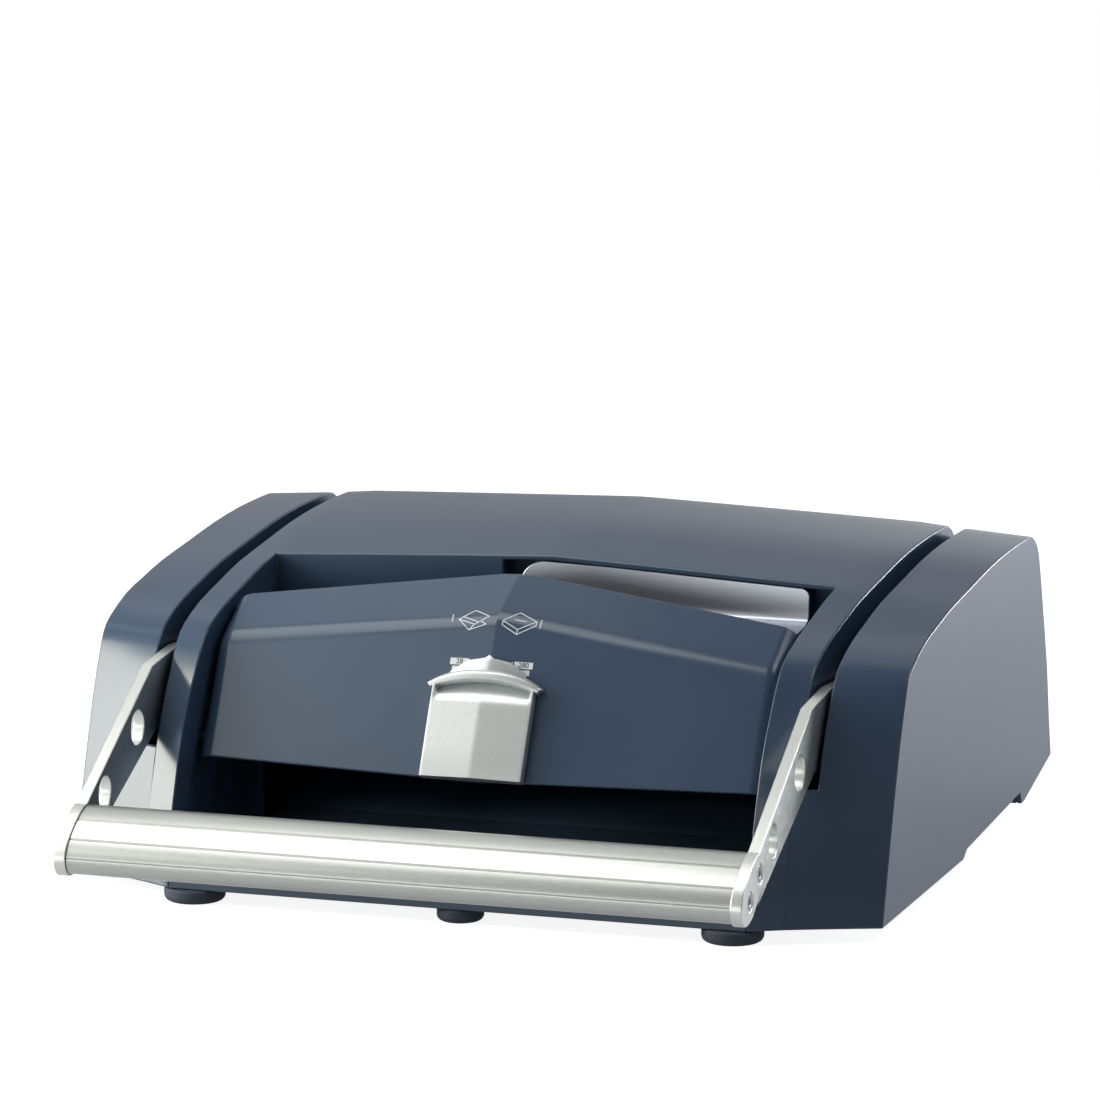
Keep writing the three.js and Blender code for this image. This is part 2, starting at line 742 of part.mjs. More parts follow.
// Lever

function leverArm(side) {
  const across = span(side, armInner, armOuter);
  const web = prism([
    point(pivotY, pivotZ + hubRadius), armPoint(armInnerShare), armPoint(armKneeShare), tipPoint(tipTopShare),
    tipPoint(tipFootShare), armPoint(armFootShare), point(pivotY, pivotZ - hubRadius),
  ], across);
  const tip = prism(oval(armLong, armShort, handleY, handleHeight), across);
  const hub = crossRod(hubRadius, across, pivotY, pivotZ);
  const upperHole = armPoint(upperHoleShare);
  const lowerHole = armPoint(lowerHoleShare);
  return cut(join([web, tip, hub]), [
    crossRod(upperHoleRadius, everywhere, upperHole.x, upperHole.y),
    crossRod(lowerHoleRadius, everywhere, lowerHole.x, lowerHole.y),
    crossRod(shaftRadius + fit, everywhere, pivotY, pivotZ),
    ...screwPlaces.map((place) => handleScrewBore(side, place)),
  ]);
}

const screwSeat = armOuter - screwHeadHeight;
const screwRod = (side, place, radius, from, to, around = smallSides) =>
  crossRod(radius, span(side, from, to), place.x, place.y, around);

function handleScrew(side, place) {
  return screwRod(side, place, screwHeadRadius, screwSeat, armOuter - fit)
    .add(screwRod(side, place, screwRadius, armInner - screwReach, screwSeat + fit))
    .subtract(screwRod(side, place, screwSocket, armOuter - screwHeadHeight / 2, armOuter + overrun, 6));
}

function handleScrewBore(side, place) {
  return screwRod(side, place, screwHeadRadius + fit, screwSeat - fit, armOuter + overrun)
    .add(screwRod(side, place, screwRadius + fit, armInner - screwReach - fit, screwSeat));
}

function handleBar() {
  const half = armInner - fit;
  const bores = sides.flatMap((side) => screwPlaces.map((place) => handleScrewBore(side, place)));
  return cut(prism(oval(handleLong, handleShort, handleY, handleHeight), [-half, half]), bores);
}

// Rubber pad that the lowered arm lands on, inside its slot
function leverStop(side) {
  return block(span(side, armInner, armOuter), [leverStopY, leverStopY + leverStopLength],
    [slotFoot + coverWall + fit, armOverStop - fit]);
}

// Front flap: two flat halves that meet in a forward crease, each bent along the ridge

const flapFoot = point(flapBottomY, flapHingeZ - flapBottomDrop);
const flapRidge = point(flapRidgeY, flapHingeZ + flapRidgeRise);
const flapTop = point(flapTopY, flapHingeZ + flapTopRise);
const endFoot = flapFoot.clone().add(point(flapCreaseDepth, flapFootRise));
const endRidge = flapRidge.clone().sub(point(flapRidgeLead, flapRidgeFall));
const endTop = flapTop.clone().sub(point(flapTopLead, flapTopFall));

function flapCurve(x, inset) {
  const across = Math.abs(x);
  const [bottom, ridge, top] = [[flapFoot, endFoot], [flapRidge, endRidge], [flapTop, endTop]]
    .map(([centre, end]) => centre.clone().lerp(end, across / flapHalf));
  const [before, after] = [bottom, top].map((p) =>
    ridge.clone().addScaledVector(p.clone().sub(ridge).normalize(), ridgeFillet));
  const bend = new THREE.QuadraticBezierCurve(before, ridge, after).getPoints(4);
  const turn = Math.max(0, across - flapHalf + flapEndRound) / flapEndRound;
  const rounding = flapEndRound * (1 - Math.sqrt(Math.max(0, 1 - turn * turn)));
  return insetCurve([bottom, ...bend, top], rounding + inset);
}

function flapSheet([x0, x1], outer, inner) {
  const turns = [0, 1, 2, 3].map((step) => flapHalf - flapEndRound * (1 - Math.sin((step / 8) * Math.PI)));
  const places = [0, flapHalf / 2, ...turns];
  const between = [...places.slice(1).map((x) => -x), ...places].filter((x) => x > x0 && x < x1);
  return loft([x0, ...between.sort((a, b) => a - b), x1].map((x) => (
    { x, outline: [...flapCurve(x, outer), ...flapCurve(x, inner).reverse()] })));
}

// Places on the lower face at the crease: up along it and out from it
const faceUp = flapRidge.clone().sub(flapFoot).normalize();
const faceOut = point(-faceUp.y, faceUp.x);
const onFace = (up, out) => flapFoot.clone().addScaledVector(faceUp, up).addScaledVector(faceOut, out);

// An outline drawn in X and up the face, drawn out from the face
function facePlate(outline, from, to) {
  const geometry = extruded(new THREE.Shape(outline), to - from);
  const origin = onFace(0, from);
  return solid(geometry.applyMatrix4(new THREE.Matrix4().set(
    1, 0, 0, 0,
    0, faceUp.x, faceOut.x, origin.x,
    0, faceUp.y, faceOut.y, origin.y,
    0, 0, 0, 1,
  )));
}

// An outline drawn in X and out from the face, drawn down the face
function faceBar(outline, from, to) {
  const geometry = extruded(new THREE.Shape(outline), to - from);
  const origin = onFace(to, 0);
  return solid(geometry.applyMatrix4(new THREE.Matrix4().set(
    1, 0, 0, 0,
    0, faceOut.x, -faceUp.x, origin.x,
    0, faceOut.y, -faceUp.y, origin.y,
    0, 0, 0, 1,
  )));
}

const oblong = (half, from, to) => [point(-half, from), point(half, from), point(half, to), point(-half, to)];

function frontFlap() {
  const sheet = flapSheet([-flapHalf, flapHalf], 0, flapWall);
  const returns = sides.map((side) => (
    flapSheet(span(side, flapHalf - flapWall, flapHalf), flapWall / 2, flapReturn)
      .subtract(below(endFoot.y))));
  const bosses = sides.map((side) => crossRod(flapBossRadius, span(side, flapHalf - flapBossLength, flapHalf),
    flapHingeY, flapHingeZ, smallSides));
  const slot = facePlate(oblong(stemHalf + fit, stemFoot - knobTravel - fit, stemFoot + stemLength + fit),
    -2 * flapWall, 2 * flapWall);
  return cut(join([sheet, ...returns, ...bosses]), [
    slot,
    above(flapTop.y - flapApexCut),
    crossRod(flapPinRadius + runningFit, everywhere, flapHingeY, flapHingeZ, smallSides)]);
}

function flapPin(side) {
  return crossRod(flapPinRadius, span(side, flapHalf - flapBossLength, frameOuter),
    flapHingeY, flapHingeZ, smallSides);
}

// Rubber buffer on the pillar's wall that the closed flap's edge leans on
function flapBuffer(side) {
  const upEnd = endRidge.clone().sub(endFoot).normalize();
  const intoFlap = point(upEnd.y, -upEnd.x);
  const at = endRidge.clone().addScaledVector(upEnd, -bufferDrop)
    .addScaledVector(intoFlap, flapEndRound + flapReturn + fit + bufferRadius);
  const root = windowHalf - fit;
  return crossRod(bufferRadius, span(side, root - bufferLength, root), at.x, at.y, smallSides);
}

// Size knob

function sizeKnob() {
  const body = faceBar([point(-knobHalf, fit), point(knobHalf, fit), point(knobHalf, knobRise),
    point(0, knobRise + knobCrease), point(-knobHalf, knobRise)], 0, knobLength);
  const rimFoot = knobLength + rimGap;
  const arch = (base, rise) => new THREE.QuadraticBezierCurve(
    point(rimHalf, base), point(0, base + 2 * rise), point(-rimHalf, base)).getPoints(12);
  const neckHalf = knobHalf - neckInset;
  const neck = facePlate(oblong(neckHalf, knobLength - neckInset, rimFoot + rimFootArch), fit, neckRise);
  const rimOutline = [...arch(rimFoot, rimFootArch), ...arch(rimFoot + rimEnd, rimTopArch).reverse()];
  const rim = facePlate(rimOutline, fit, rimRise);
  const pointerFoot = rimFoot + rimEnd + rimFootArch;
  const pointer = facePlate(pointerShares.map(([across, up]) => (
    point(across * pointerHalf, pointerFoot + up * pointerLength))), fit, pointerRise);
  const stemRoot = -flapWall - clipGap + fit;
  const stem = facePlate(oblong(stemHalf, stemFoot, stemFoot + stemLength), stemRoot, neckRise);
  const bore = clipScrewRod(clipScrewRadius + fit, clipBack, clipBack + clipScrewReach + fit);
  return join([body, neck, rim, pointer, stem]).subtract(bore);
}

const clipBack = -flapWall - clipGap - clipWall;

function clipScrewRod(radius, from, to) {
  const start = onFace(stemFoot + stemLength / 2, from);
  const end = onFace(stemFoot + stemLength / 2, to);
  return rod(radius, [0, start.x, start.y], [0, end.x, end.y], smallSides);
}

function knobClip() {
  const foot = stemFoot - clipMargin;
  return facePlate(oblong(clipHalf, foot, stemFoot + stemLength + clipMargin), clipBack, -flapWall - clipGap)
    .subtract(clipScrewRod(clipScrewRadius + fit, clipBack - fit, clipScrewReach));
}

function clipScrew() {
  const seat = clipBack - fit;
  return clipScrewRod(clipScrewHead, seat - clipScrewRadius, seat)
    .add(clipScrewRod(clipScrewRadius, seat - clipScrewRadius / 2, clipBack + clipScrewReach));
}

// Scooped sheet that a document leans on, set off from the recess's wall by two bosses
function restShape() {
  const [left, right] = [recessSplit + restStepGap, windowHalf - restEndGap];
  const topAt = (x) => heightOn(coverCurve(x, 0), windowEdge) - coverWall - restTopGap;
  const leftCentre = left + restLeftRound;
  const rightCentre = right - restRightRound;
  const shape = new THREE.Shape();
  shape.moveTo(left, 0);
  shape.absarc(leftCentre, topAt(leftCentre) - restLeftRound, restLeftRound, Math.PI, Math.PI / 2, true);
  for (const part of [0.25, 0.5, 0.75]) {
    const x = THREE.MathUtils.lerp(leftCentre, rightCentre, part);
    shape.lineTo(x, topAt(x));
  }
  shape.absarc(rightCentre, topAt(rightCentre) - restRightRound, restRightRound, Math.PI / 2, 0, true);
  shape.lineTo(right, 0);
  return { left, right, shape };
}

function documentRest() {
  const backY = windowBack - restStandoff;
  const footZ = restFloor - restFootDrop;
  const places = restShares.map(([run, rise]) => (
    point(backY + (run - 1) * restReach, footZ + rise * restRise)));
  const curve = new THREE.SplineCurve(places).getPoints(18);
  const sheet = prism([...curve, ...insetCurve(curve, restWall).reverse()], everywhere);
  const { left, right, shape } = restShape();
  const front = extruded(shape, 2 * depth);
  const alongY = new THREE.Matrix4().set(1, 0, 0, 0, 0, 0, -1, depth, 0, 1, 0, 0, 0, 0, 0, 1);
  const bossZ = restFloor + restBossLift;
  const bossY = heightOn(curve.map((p) => point(p.y, p.x)), bossZ) + restWall;
  const bosses = [left + restBossInset, right - restBossInset].map((x) => rod(restBossRadius,
    [x, bossY, bossZ], [x, windowBack - fit, bossZ], smallSides));
  return join([sheet.intersect(solid(front.applyMatrix4(alongY))), ...bosses]);
}

// Assembly: the flap's group also carries the knob's, and the lever's holds all that turns on the shaft

const group = (name, parent) => {
  const made = new THREE.Group();
  made.name = name;
  parent.add(made);
  return made;
};
const base = group('base', machine);
const press = group('press', machine);
const lever = group('lever', machine);
const flap = group('flap', machine);
const knob = group('knob', flap);

add('base_pan', basePan(), 'innerDark', base);
add('top_cover', topCover(), 'blueGrey', base);
add('rear_panel', rearPanel(), 'blueGrey', base);
add('document_rest', documentRest(), 'satinAluminium', base);
add('fixed_jaw', fixedJaw(), 'steel', base);
add('spine_rest', spineRest(), 'darkSteel', base);
add('tie_rod_front', tieRod(tiePlaces[0]), 'steel', base);
add('tie_rod_rear', tieRod(tiePlaces[1]), 'steel', base);
for (const [name, x, y, radius] of footPlaces) {
  add(name, foot(radius), 'rubber', base).position.set(x, y, 0);
}
add('moving_jaw', movingJaw(), 'steel', press);
add('lever_shaft', crossRod(shaftRadius, [-armOuter, armOuter], pivotY, pivotZ), 'steel', lever);
add('handle_bar', handleBar(), 'satinAluminium', lever);
add('front_flap', frontFlap(), 'blueGrey', flap);
add('size_knob', sizeKnob(), 'knobSilver', knob);
add('size_knob_clip', knobClip(), 'innerDark', knob);
add('size_knob_screw', clipScrew(), 'steel', knob);

for (const side of sides) {
  const name = sideName(side);
  add(`cheek_cover_${name}`, cheekCover(side), 'blueGrey', base);
  add(`side_frame_${name}`, sideFrame(side), 'darkSteel', base);
  add(`shaft_bush_${name}`, shaftBush(side), 'bronze', base);
  add(`jaw_screw_${name}`, jawScrew(side), 'steel', base);
  add(`guide_pin_${name}`, guidePin(side), 'steel', base);
  add(`return_spring_${name}`, returnSpring(), 'steel', base).position.set(side * guideX, 0, jawMidZ);
  add(`lever_stop_${name}`, leverStop(side), 'rubber', base);
  add(`flap_pin_${name}`, flapPin(side), 'steel', base);
  add(`flap_buffer_${name}`, flapBuffer(side), 'rubber', base);
  add(`cam_pad_${name}`, camPad(side), 'bronze', press);
  add(`cam_${name}`, cam(side), 'darkSteel', lever);
  add(`lever_arm_${name}`, leverArm(side), 'satinAluminium', lever);
  ['lower', 'upper'].forEach((level, i) => {
    add(`handle_screw_${name}_${level}`, handleScrew(side, screwPlaces[i]), 'steel', lever);
  });
  ['front', 'rear'].forEach((end, i) => {
    add(`cover_screw_${name}_${end}`, postScrew(side, postPlaces[i]), 'steel', base);
    add(`frame_screw_${name}_${end}`, frameScrew(side, framePlaces[i]), 'steel', base);
  });
}

export default machine;
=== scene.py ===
# Desk-top binding machine: hand lever, sloping front flap, size knob and document slot

import json
import math

import bmesh
import bpy
from mathutils import Matrix, Vector
from mathutils.bvhtree import BVHTree

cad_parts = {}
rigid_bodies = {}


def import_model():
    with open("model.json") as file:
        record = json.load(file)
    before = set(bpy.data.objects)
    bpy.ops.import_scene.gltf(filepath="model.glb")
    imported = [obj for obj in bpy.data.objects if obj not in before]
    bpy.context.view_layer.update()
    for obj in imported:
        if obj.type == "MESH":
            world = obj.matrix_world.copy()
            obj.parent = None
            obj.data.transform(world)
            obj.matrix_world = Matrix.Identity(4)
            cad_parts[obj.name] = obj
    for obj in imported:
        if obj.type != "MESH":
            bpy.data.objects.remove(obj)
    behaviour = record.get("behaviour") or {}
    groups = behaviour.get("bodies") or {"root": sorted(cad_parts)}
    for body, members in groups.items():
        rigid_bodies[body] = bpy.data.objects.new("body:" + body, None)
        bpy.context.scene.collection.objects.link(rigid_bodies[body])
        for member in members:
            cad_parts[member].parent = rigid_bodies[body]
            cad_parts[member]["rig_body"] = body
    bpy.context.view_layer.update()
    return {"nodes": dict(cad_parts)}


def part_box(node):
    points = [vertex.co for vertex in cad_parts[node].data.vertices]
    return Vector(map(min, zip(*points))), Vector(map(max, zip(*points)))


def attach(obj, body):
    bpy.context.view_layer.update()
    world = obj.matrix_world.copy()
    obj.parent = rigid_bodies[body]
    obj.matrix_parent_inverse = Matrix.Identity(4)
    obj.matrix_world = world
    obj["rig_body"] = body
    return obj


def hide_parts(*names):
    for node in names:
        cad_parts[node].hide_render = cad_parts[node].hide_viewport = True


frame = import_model()
nodes = frame["nodes"]
mm = 0.001
print("frame loaded:", len(nodes), "nodes")


# Linear colour of an sRGB hex value, by the sRGB curve
def linearColour(hexText):
    channels = [int(hexText[i:i + 2], 16) / 255 for i in (1, 3, 5)]
    return [c / 12.92 if c <= 0.04045 else ((c + 0.055) / 1.055) ** 2.4 for c in channels] + [1]


# One shader node with its settings and its incoming links; a socket goes by its name or its number
def addNode(tree, kind, settings=None, links=None):
    node = tree.nodes.new(kind)
    for name, value in (settings or {}).items():
        if isinstance(name, int) or name in node.inputs.keys():
            node.inputs[name].default_value = value
        else:
            setattr(node, name, value)
    for name, source in (links or {}).items():
        tree.links.new(source, node.inputs[name])
    return node


def newMaterial(name):
    material = bpy.data.materials.new(name)
    material.use_nodes = True
    material.node_tree.nodes.clear()
    return material


# Where each surface's two tones lie on its pattern, how far its roughness wanders, and its relief in mm
surfaces = {
    "moulded": {"toneStops": (0.3, 0.7), "wander": 0.03, "relief": 0.02},
    "painted": {"toneStops": (0.2, 0.8), "wander": 0.03, "relief": 0.01},
    "lined": {"toneStops": (0.3, 0.7), "wander": 0.05, "relief": 0.01},
}


# Two tones, a roughness that wanders a little and a fine bump, each from a pattern of the material's own
def dressSurface(tree, look, surface, toneFrom, sheenFrom, bumpFrom, settings):
    tone = addNode(tree, "ShaderNodeValToRGB", links={"Fac": toneFrom})
    for stop, place, shade in zip(tone.color_ramp.elements, surface["toneStops"], ("dark", "light")):
        stop.position = place
        stop.color = linearColour(look[shade])
    sheen = addNode(tree, "ShaderNodeMapRange",
                    {"To Min": look["roughness"] - surface["wander"],
                     "To Max": look["roughness"] + surface["wander"]}, {"Value": sheenFrom})
    bump = addNode(tree, "ShaderNodeBump", {"Strength": look["bump"], "Distance": surface["relief"] * mm},
                   {"Height": bumpFrom})
    shader = addNode(tree, "ShaderNodeBsdfPrincipled", settings,
                     {"Base Color": tone.outputs["Color"], "Roughness": sheen.outputs["Result"],
                      "Normal": bump.outputs["Normal"]})
    addNode(tree, "ShaderNodeOutputMaterial", links={"Surface": shader.outputs["BSDF"]})


# Moulded plastic: a spark-eroded tool leaves a fine even grain, so highlights spread and stay soft
def mouldedPlastic(name, look):
    material = newMaterial(name)
    tree = material.node_tree
    place = addNode(tree, "ShaderNodeTexCoord").outputs["Object"]
    grain = addNode(tree, "ShaderNodeTexNoise", {"Scale": 1 / (look["grain"] * mm), "Detail": 2.0},
                    {"Vector": place}).outputs["Fac"]
    cloud = addNode(tree, "ShaderNodeTexNoise", {"Scale": 1 / (look["cloud"] * mm), "Detail": 3.0},
                    {"Vector": place}).outputs["Fac"]
    dressSurface(tree, look, surfaces["moulded"], cloud, cloud, grain, {"IOR": look["ior"]})
    return material


# Silver paint on plastic: fine metal flakes under a clear coat, so it mirrors its surroundings softly
def flakePaint(name, look):
    material = newMaterial(name)
    tree = material.node_tree
    place = addNode(tree, "ShaderNodeTexCoord").outputs["Object"]
    flakes = addNode(tree, "ShaderNodeTexVoronoi", {"Scale": 1 / (look["flake"] * mm)},
                     {"Vector": place}).outputs["Color"]
    grain = addNode(tree, "ShaderNodeTexNoise", {"Scale": 1 / (look["grain"] * mm), "Detail": 2.0},
                    {"Vector": place}).outputs["Fac"]
    dressSurface(tree, look, surfaces["painted"], flakes, grain, grain, {"Metallic": look["metallic"]})
    return material


# Metal whose finish runs in lines along one axis, from drawing, a belt or a brush
def linedMetal(name, look):
    material = newMaterial(name)
    tree = material.node_tree
    place = addNode(tree, "ShaderNodeTexCoord").outputs["Object"]
    stretch = addNode(tree, "ShaderNodeMapping", {"Scale": look["lines"]}, {"Vector": place})
    lines = addNode(tree, "ShaderNodeTexNoise", {"Scale": 1 / (look["pitch"] * mm), "Detail": 3.0},
                    {"Vector": stretch.outputs["Vector"]}).outputs["Fac"]
    dressSurface(tree, look, surfaces["lined"], lines, lines, lines, {"Metallic": 1.0})
    return material


# Patterns are in mm. Real mould grain, paint flakes and brush lines are near 0.1 mm or finer, too fine
# to show, so they are drawn a few times coarser. "lines" is below 1 along the axis that they run along.
finishes = {
    # covers and flap: a low even gloss that turns lamps into soft bands
    "blueGreyAbs": {"dark": "#31435a", "light": "#35475e", "grain": 0.35, "cloud": 60,
                    "roughness": 0.23, "bump": 0.15, "ior": 1.53},
    # base pan, inside parts and numbers: the same plastic, darker and dull; the darkening is painted shade
    # for the cavity and the base, and on the numbers it is their dark print
    "shadeAndPrintAbs": {"dark": "#2a3a4c", "light": "#2f4054", "grain": 0.35, "cloud": 60,
                "roughness": 0.5, "bump": 0.25, "ior": 1.53},
    # size knob: light grey with a faint sparkle and a wide soft shine
    "silverPaint": {"dark": "#bfc4c5", "light": "#cfd3d3", "flake": 0.4, "grain": 0.5,
                    "roughness": 0.36, "bump": 0.12, "metallic": 0.75},
    # print: a flat matt film, not quite white
    "whiteInk": {"dark": "#c9cdd1", "light": "#d2d6da", "grain": 0.2, "cloud": 8,
                 "roughness": 0.5, "bump": 0.1, "ior": 1.5},
    # feet, stops and buffers: dark and without shine
    "rubber": {"dark": "#2b3441", "light": "#303a48", "grain": 0.5, "cloud": 20,
               "roughness": 0.75, "bump": 0.4, "ior": 1.52},
    # handle bar: bands of light run along it with soft edges
    "aluminium": {"dark": "#b4b7b5", "light": "#c3c6c3", "lines": (0.04, 1, 1), "pitch": 0.25,
                  "roughness": 0.35, "bump": 0.1},
    # document rest: a cool grey mirror, blurred across its lines
    "satinSteel": {"dark": "#aeb3bc", "light": "#b9bec6", "lines": (0.04, 1, 1), "pitch": 0.25,
                   "roughness": 0.32, "bump": 0.03},
    # lever arms: pale and warm, with lines along the arm
    "armAluminium": {"dark": "#ced2cf", "light": "#dcdfdb", "lines": (1, 0.05, 0.05), "pitch": 0.3,
                     "roughness": 0.36, "bump": 0.12},
    # jaws, rods, guide pins, springs and screws: a plain grey shine
    "steel": {"dark": "#9a9da0", "light": "#aaadb0", "lines": (0.05, 1, 1), "pitch": 0.3,
              "roughness": 0.35, "bump": 0.1},
    # frames, cams and the flap's pins: nearly black, with a dim shine
    "blackenedSteel": {"dark": "#2c3036", "light": "#383d44", "lines": (0.3, 1, 1), "pitch": 0.4,
                       "roughness": 0.45, "bump": 0.15},
    # bushes and cam pads: brown and faintly speckled
    "bronze": {"dark": "#8a6a3c", "light": "#9c7a48", "lines": (1, 0.3, 0.3), "pitch": 0.3,
               "roughness": 0.4, "bump": 0.1},
}

blueGreyAbs = mouldedPlastic("moulded ABS, blue-grey", finishes["blueGreyAbs"])
# The dark plastic is the blue-grey ABS darkened as painted shade in the cavity and on the base; the numbers
# use it as dark print
shadeAndPrintAbs = mouldedPlastic("moulded ABS, darkened: painted shade and dark print", finishes["shadeAndPrintAbs"])
silverPaint = flakePaint("silver flake paint on ABS", finishes["silverPaint"])
whiteInk = mouldedPlastic("pad-printed ink, white", finishes["whiteInk"])
rubber = mouldedPlastic("moulded rubber", finishes["rubber"])
aluminium = linedMetal("anodised aluminium, drawn", finishes["aluminium"])
satinSteel = linedMetal("stainless steel, satin", finishes["satinSteel"])
armAluminium = linedMetal("anodised aluminium, brushed", finishes["armAluminium"])
steel = linedMetal("zinc-plated steel", finishes["steel"])
blackenedSteel = linedMetal("blackened steel", finishes["blackenedSteel"])
bronze = linedMetal("sintered bronze", finishes["bronze"])
slotMaterials = {
    "blue_grey_plastic": blueGreyAbs,
    "dark_plastic": shadeAndPrintAbs,
    "satin_aluminium": aluminium,
    "silver_plastic": silverPaint,
    "steel": steel,
    "dark_steel": blackenedSteel,
    "bronze": bronze,
    "rubber": rubber,
}
ownFinishes = {"flap_pin_left": blackenedSteel, "flap_pin_right": blackenedSteel,
               "lever_arm_left": armAluminium, "lever_arm_right": armAluminium, "document_rest": satinSteel}
print("materials made:", len(finishes))


# Each CAD node gets its slot's material, or one of its own
slotNames = {}
for name, node in nodes.items():
    slotNames[name] = next(m.name for m in node.data.materials if m).split(".")[0]
    node.data.materials.clear()
    node.data.materials.append(ownFinishes.get(name, slotMaterials[slotNames[name]]))
print("CAD nodes have their materials:", len(slotNames))


# Moulded and cut parts: from how sharp a bend an edge is rounded, in degrees, and how far, in mm.
# "closedTo" is where a cheek's inner rim is drawn to, "kinkAt" where a bend stays crisp but isn't rounded.
edgeLooks = {
    "top_cover": {"bend": 28, "round": 0.9},
    "cheek_cover_left": {"bend": 28, "round": 0.8, "closedTo": 183.06},
    "cheek_cover_right": {"bend": 28, "round": 0.8, "closedTo": 183.06},
    "rear_panel": {"bend": 28, "round": 0.6},
    "front_flap": {"bend": 22, "round": 0.7, "kinkAt": 0.0},
    "base_pan": {"bend": 28, "round": 0.5},
    "document_rest": {"bend": 30, "round": 0.5},
    "lever_arm_left": {"bend": 30, "round": 0.5},
    "lever_arm_right": {"bend": 30, "round": 0.5},
    "foot_front_left": {"bend": 30, "round": 1.2},
    "foot_front_right": {"bend": 30, "round": 1.2},
    "foot_front_centre": {"bend": 30, "round": 1.2},
    "foot_rear_left": {"bend": 30, "round": 1.2},
    "foot_rear_right": {"bend": 30, "round": 1.2},
    "handle_screw_left_upper": {"bend": 30, "round": 0.3},
    "handle_screw_left_lower": {"bend": 30, "round": 0.3},
    "handle_screw_right_upper": {"bend": 30, "round": 0.3},
    "handle_screw_right_lower": {"bend": 30, "round": 0.3},
    "fixed_jaw": {"bend": 30, "round": 0.5},
    "moving_jaw": {"bend": 30, "round": 0.5},
}
merging = {
    "weld": 0.01,  # mm
    "flat": 0.3,  # degrees between triangles that become one face
    "pairBend": 8, "pairShape": 50,  # degrees, for the rest, which are joined in pairs
}
bevelSteps = 2

# The cheeks' inner rims stay nearly sharp along the top cover, so that no seam shows there.
# The lever's slots open the seam above slotFoot and in front of slotRear.
seamRounding = 0.06  # of the part's own rounding
seamAt = (182.9 * mm, 183.5 * mm)
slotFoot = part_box("lever_stop_left")[0][2] - 3.3 * mm
slotRear = 0.212


def inSeam(vert):
    return seamAt[0] < abs(vert.co.x) < seamAt[1]


def alongSeam(edge):
    closed = all(vert.co.z < slotFoot + mm or vert.co.y > slotRear for vert in edge.verts)
    return closed and all(inSeam(vert) for vert in edge.verts)


# Turns a finished mesh into an object of the scene
def newObject(name, mesh, material):
    data = bpy.data.meshes.new(name)
    mesh.to_mesh(data)
    mesh.free()
    data.materials.append(material)
    made = bpy.data.objects.new(name, data)
    bpy.context.collection.objects.link(made)
    return made


# Copies a node with its triangles merged into whole faces, its skin smooth and its edges rounded
def roundedCopy(name, look):
    node = nodes[name]
    mesh = bmesh.new()
    mesh.from_mesh(node.data)
    weld = merging["weld"] * mm
    bmesh.ops.remove_doubles(mesh, verts=mesh.verts, dist=weld)
    bmesh.ops.dissolve_limit(mesh, angle_limit=math.radians(merging["flat"]), verts=mesh.verts,
                             edges=mesh.edges, delimit={"NORMAL"})
    if "closedTo" in look:
        for vert in filter(inSeam, mesh.verts):
            vert.co.x = math.copysign(look["closedTo"] * mm, vert.co.x)
    threes = [face for face in mesh.faces if len(face.verts) == 3]
    bmesh.ops.join_triangles(mesh, faces=threes, angle_face_threshold=math.radians(merging["pairBend"]),
                             angle_shape_threshold=math.radians(merging["pairShape"]))
    for face in mesh.faces:
        face.smooth = True
    weight = mesh.edges.layers.float.new("bevel_weight_edge")
    for edge in mesh.edges:
        sharp = edge.calc_face_angle(0) > math.radians(look["bend"])
        kinked = "kinkAt" in look and all(abs(vert.co.x - look["kinkAt"]) < weld for vert in edge.verts)
        edge.smooth = not (sharp or kinked)
        edge[weight] = (seamRounding if alongSeam(edge) else 1.0) if sharp else 0.0
    finish = ownFinishes.get(name, slotMaterials[slotNames[name]])
    piece = newObject(name + "_rounded", mesh, finish)
    bevel = piece.modifiers.new("rounded edges", "BEVEL")
    bevel.width = look["round"] * mm
    bevel.segments = bevelSteps
    bevel.limit_method = "WEIGHT"
    bevel.use_clamp_overlap = False
    bevel.loop_slide = False
    # Broad faces keep their own direction, so that bends next to them shade crisply
    flats = piece.modifiers.new("flat faces", "WEIGHTED_NORMAL")
    flats.keep_sharp = True
    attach(piece, node["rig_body"])
    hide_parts(name)


for name, look in edgeLooks.items():
    roundedCopy(name, look)
print("rounded parts:", len(edgeLooks))


# Makes a mesh a piece that rides on a body; bends below an angle in degrees shade smoothly
def newPiece(name, mesh, finish, body, bend=30):
    bmesh.ops.recalc_face_normals(mesh, faces=mesh.faces)
    for face in mesh.faces:
        face.smooth = True
    for edge in mesh.edges:
        edge.smooth = edge.calc_face_angle(0) < math.radians(bend)
    piece = newObject(name, mesh, finish)
    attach(piece, body)
    return piece


# Handle bar: a drawn oval section with three fine lines along it, in mm and degrees
handleBar = {
    "half": 184.95, "long": 47.0, "short": 23.0, "tilt": 30.6, "centre": (-227.814, 51.0),
    "power": 2.3,  # 2 gives an ellipse, more a fuller section
    "around": 168,
    "lines": (3.5, -11.1, -21.6),  # places along the section's upper side
    "lineDepth": 0.45, "lineSteep": 2,  # how deep they are cut, and how steeply down
    "bend": 24,
}


